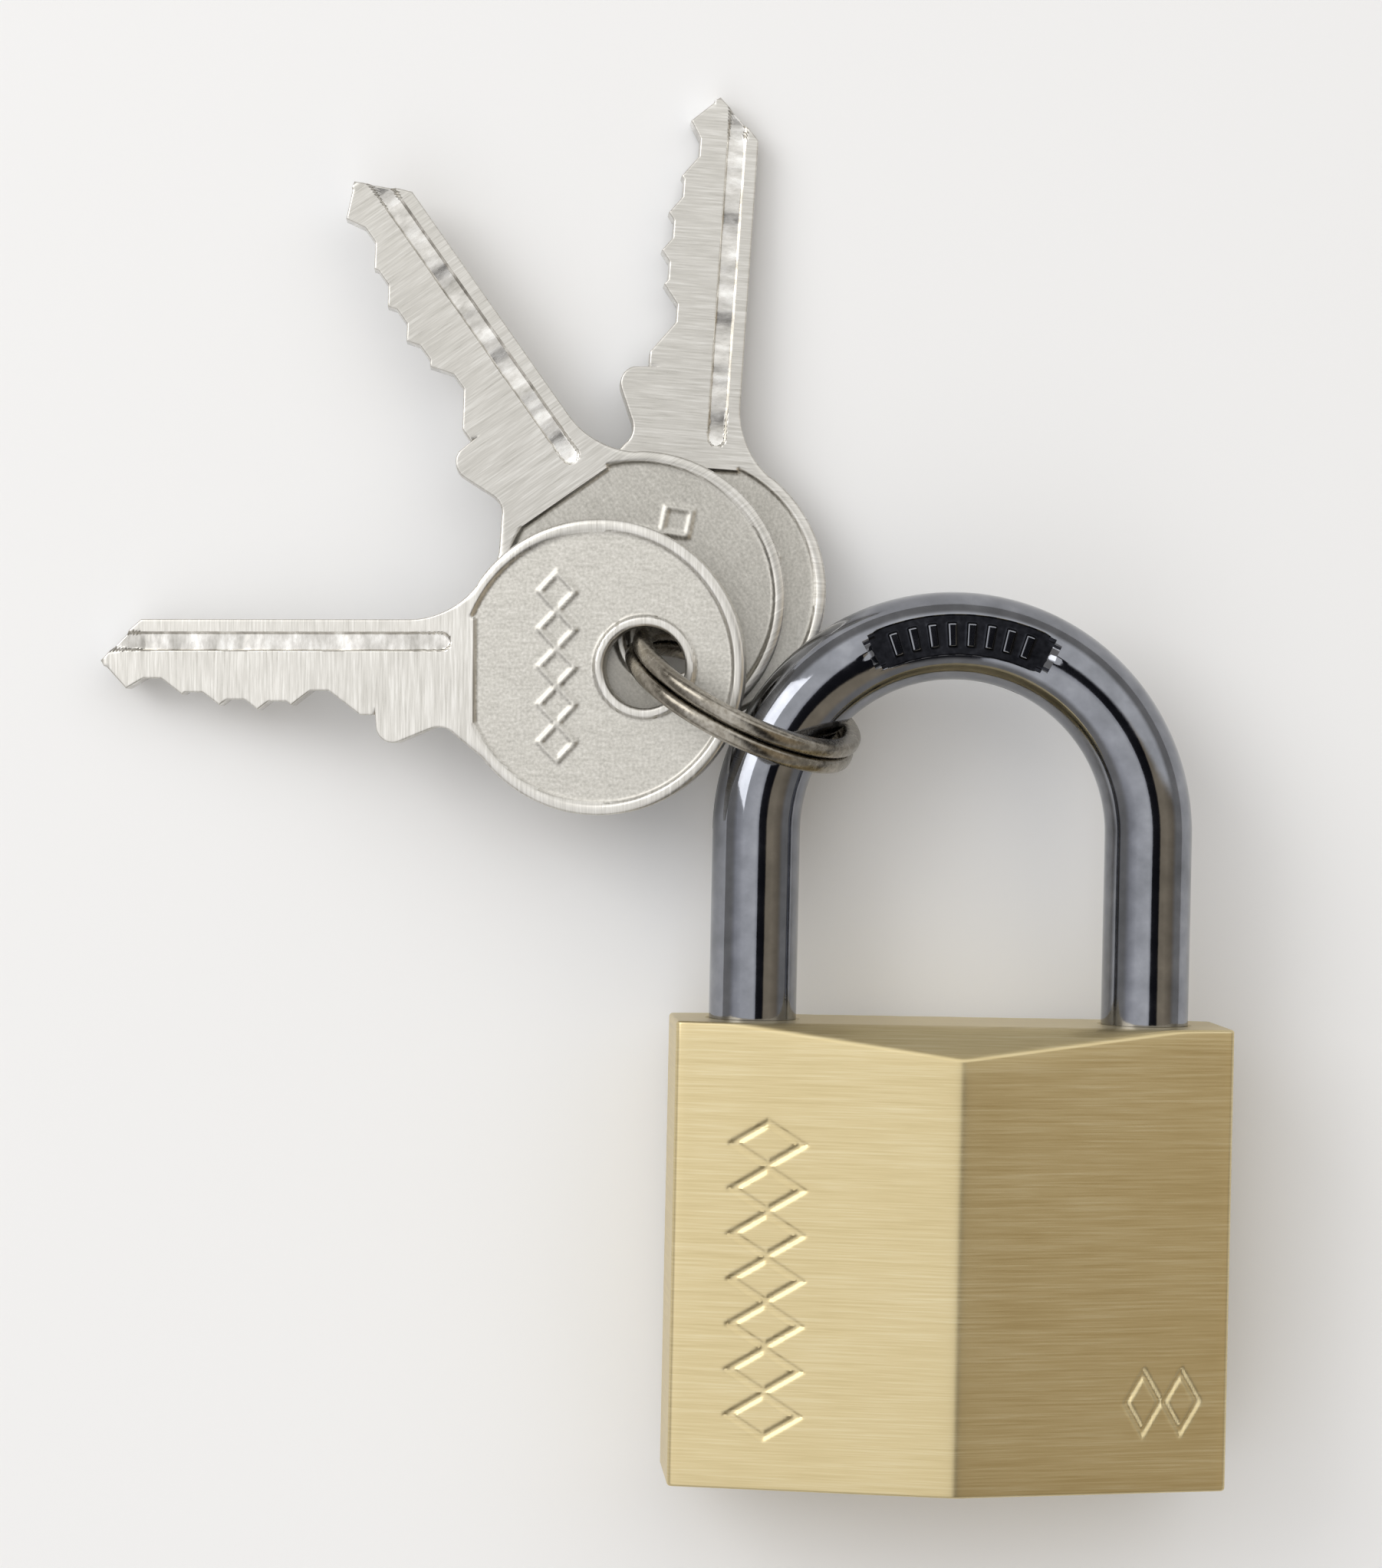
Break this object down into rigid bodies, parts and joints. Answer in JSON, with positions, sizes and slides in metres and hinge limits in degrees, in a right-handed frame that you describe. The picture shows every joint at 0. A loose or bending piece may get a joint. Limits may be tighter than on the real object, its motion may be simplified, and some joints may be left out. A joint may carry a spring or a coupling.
{
  "type": "padlock",
  "caption": "Padlock with a ridged body, a round springing shackle, a pin-tumbler lock turned by a key, and flat keys on a split ring round the shackle.",
  "frame": {"origin": "middle of the keyway's mouth, on the plug's axis, in the flat face that the key enters", "axes": "+Y from the key face towards the shackle, +X across the front from the heel leg to the toe leg, +Z out of the front ridge"},
  "size_m": [0.0819, 0.1003, 0.0176],
  "materials": {
    "body_brass": "solid brass, brushed across the width, satin",
    "plug_brass": "turned brass",
    "shackle_chrome": "hardened steel, polished and chrome plated",
    "ring_nickel": "spring steel, dull nickel plated",
    "key_nickel": "brass, nickel plated, brushed blades and tumbled heads",
    "lock_steel": "turned steel",
    "spring_steel": "drawn spring wire"
  },
  "bodies": {
    "lock": {"lock_body": "body_brass", "chamber_caps": "body_brass", "bolt_bore_cap": "body_brass", "plug_retaining_pin": "lock_steel", "shackle_stop_pin": "lock_steel", "pin_spring_1": "spring_steel", "pin_spring_2": "spring_steel", "pin_spring_3": "spring_steel", "pin_spring_4": "spring_steel", "pin_spring_5": "spring_steel", "shackle_spring": "spring_steel"},
    "turning_plug": {"plug": "plug_brass", "cam": "lock_steel"},
    "key_pin_body_1": {"key_pin_1": "plug_brass"},
    "key_pin_body_2": {"key_pin_2": "plug_brass"},
    "key_pin_body_3": {"key_pin_3": "plug_brass"},
    "key_pin_body_4": {"key_pin_4": "plug_brass"},
    "key_pin_body_5": {"key_pin_5": "plug_brass"},
    "driver_pin_body_1": {"driver_pin_1": "lock_steel"},
    "driver_pin_body_2": {"driver_pin_2": "lock_steel"},
    "driver_pin_body_3": {"driver_pin_3": "lock_steel"},
    "driver_pin_body_4": {"driver_pin_4": "lock_steel"},
    "driver_pin_body_5": {"driver_pin_5": "lock_steel"},
    "left_bolt": {"bolt_left": "lock_steel"},
    "right_bolt": {"bolt_right": "lock_steel"},
    "shackle_body": {"shackle": "shackle_chrome"},
    "ring": {"split_ring": "ring_nickel"},
    "key_1_body": {"key_1": "key_nickel"},
    "key_2_body": {"key_2": "key_nickel"},
    "key_3_body": {"key_3": "key_nickel"}
  },
  "joints": [
    {"name": "shackle_lift", "type": "slide", "parent": "lock", "child": "shackle_body", "axis": [0, 1, 0], "range_m": [0, 0.0098], "deforming": ["shackle_spring"]},
    {"name": "plug_turn", "type": "hinge", "parent": "lock", "child": "turning_plug", "pos_m": [0, 0, 0], "axis": [0, 1, 0], "range_deg": [0, 90]},
    {"name": "right_bolt_slide", "type": "slide", "parent": "lock", "child": "right_bolt", "axis": [1, 0, 0], "range_m": [0, 0.0013]},
    {"name": "left_bolt_slide", "type": "slide", "parent": "lock", "child": "left_bolt", "axis": [-1, 0, 0], "range_m": [0, 0.0013]},
    {"name": "key_pin_1_drop", "type": "slide", "parent": "turning_plug", "child": "key_pin_body_1", "axis": [-1, 0, 0], "range_m": [0, 0.0012]},
    {"name": "key_pin_2_drop", "type": "slide", "parent": "turning_plug", "child": "key_pin_body_2", "axis": [-1, 0, 0], "range_m": [0, 0.00195]},
    {"name": "key_pin_3_drop", "type": "slide", "parent": "turning_plug", "child": "key_pin_body_3", "axis": [-1, 0, 0], "range_m": [0, 0.00185]},
    {"name": "key_pin_4_drop", "type": "slide", "parent": "turning_plug", "child": "key_pin_body_4", "axis": [-1, 0, 0], "range_m": [0, 0.0013]},
    {"name": "key_pin_5_drop", "type": "slide", "parent": "turning_plug", "child": "key_pin_body_5", "axis": [-1, 0, 0], "range_m": [0, 0.00035]},
    {"name": "driver_pin_1_lift", "type": "slide", "parent": "lock", "child": "driver_pin_body_1", "axis": [1, 0, 0], "range_m": [0, 0.0012], "stiffness_N_per_m": 60, "deforming": ["pin_spring_1"]},
    {"name": "driver_pin_2_lift", "type": "slide", "parent": "lock", "child": "driver_pin_body_2", "axis": [1, 0, 0], "range_m": [0, 0.0012], "stiffness_N_per_m": 60, "deforming": ["pin_spring_2"]},
    {"name": "driver_pin_3_lift", "type": "slide", "parent": "lock", "child": "driver_pin_body_3", "axis": [1, 0, 0], "range_m": [0, 0.0012], "stiffness_N_per_m": 60, "deforming": ["pin_spring_3"]},
    {"name": "driver_pin_4_lift", "type": "slide", "parent": "lock", "child": "driver_pin_body_4", "axis": [1, 0, 0], "range_m": [0, 0.0012], "stiffness_N_per_m": 60, "deforming": ["pin_spring_4"]},
    {"name": "driver_pin_5_lift", "type": "slide", "parent": "lock", "child": "driver_pin_body_5", "axis": [1, 0, 0], "range_m": [0, 0.0012], "stiffness_N_per_m": 60, "deforming": ["pin_spring_5"]},
    {"name": "ring_swing", "type": "hinge", "parent": "shackle_body", "child": "ring", "pos_m": [-0.01187, 0.05449, 0], "axis": [0.5537, 0.8327, 0], "range_deg": [-30, 45]},
    {"name": "key_1_swing", "type": "hinge", "parent": "ring", "child": "key_1_body", "pos_m": [-0.02252, 0.05804, 0.00105], "axis": [-0.1908, -0.003, 0.9816], "range_deg": [-20, 10]},
    {"name": "key_2_swing", "type": "hinge", "parent": "ring", "child": "key_2_body", "pos_m": [-0.02094, 0.06042, -0.00255], "axis": [-0.0329, 0.0451, 0.9984], "range_deg": [-10, 12]},
    {"name": "key_3_swing", "type": "hinge", "parent": "ring", "child": "key_3_body", "pos_m": [-0.01994, 0.06047, -0.0046], "axis": [0.0039, 0.074, 0.9973], "range_deg": [-20, 8]}
  ],
  "couplings": [
    {"joint": "right_bolt_slide", "follows": "plug_turn", "m_per_rad": 0.0008276},
    {"joint": "left_bolt_slide", "follows": "plug_turn", "m_per_rad": 0.0008276},
    {"joint": "key_pin_2_drop", "follows": "key_pin_1_drop", "ratio": 1.625},
    {"joint": "key_pin_3_drop", "follows": "key_pin_1_drop", "ratio": 1.5417},
    {"joint": "key_pin_4_drop", "follows": "key_pin_1_drop", "ratio": 1.0833},
    {"joint": "key_pin_5_drop", "follows": "key_pin_1_drop", "ratio": 0.29167},
    {"joint": "driver_pin_2_lift", "follows": "driver_pin_1_lift", "ratio": 1},
    {"joint": "driver_pin_3_lift", "follows": "driver_pin_1_lift", "ratio": 1},
    {"joint": "driver_pin_4_lift", "follows": "driver_pin_1_lift", "ratio": 1},
    {"joint": "driver_pin_5_lift", "follows": "driver_pin_1_lift", "ratio": 1}
  ]
}
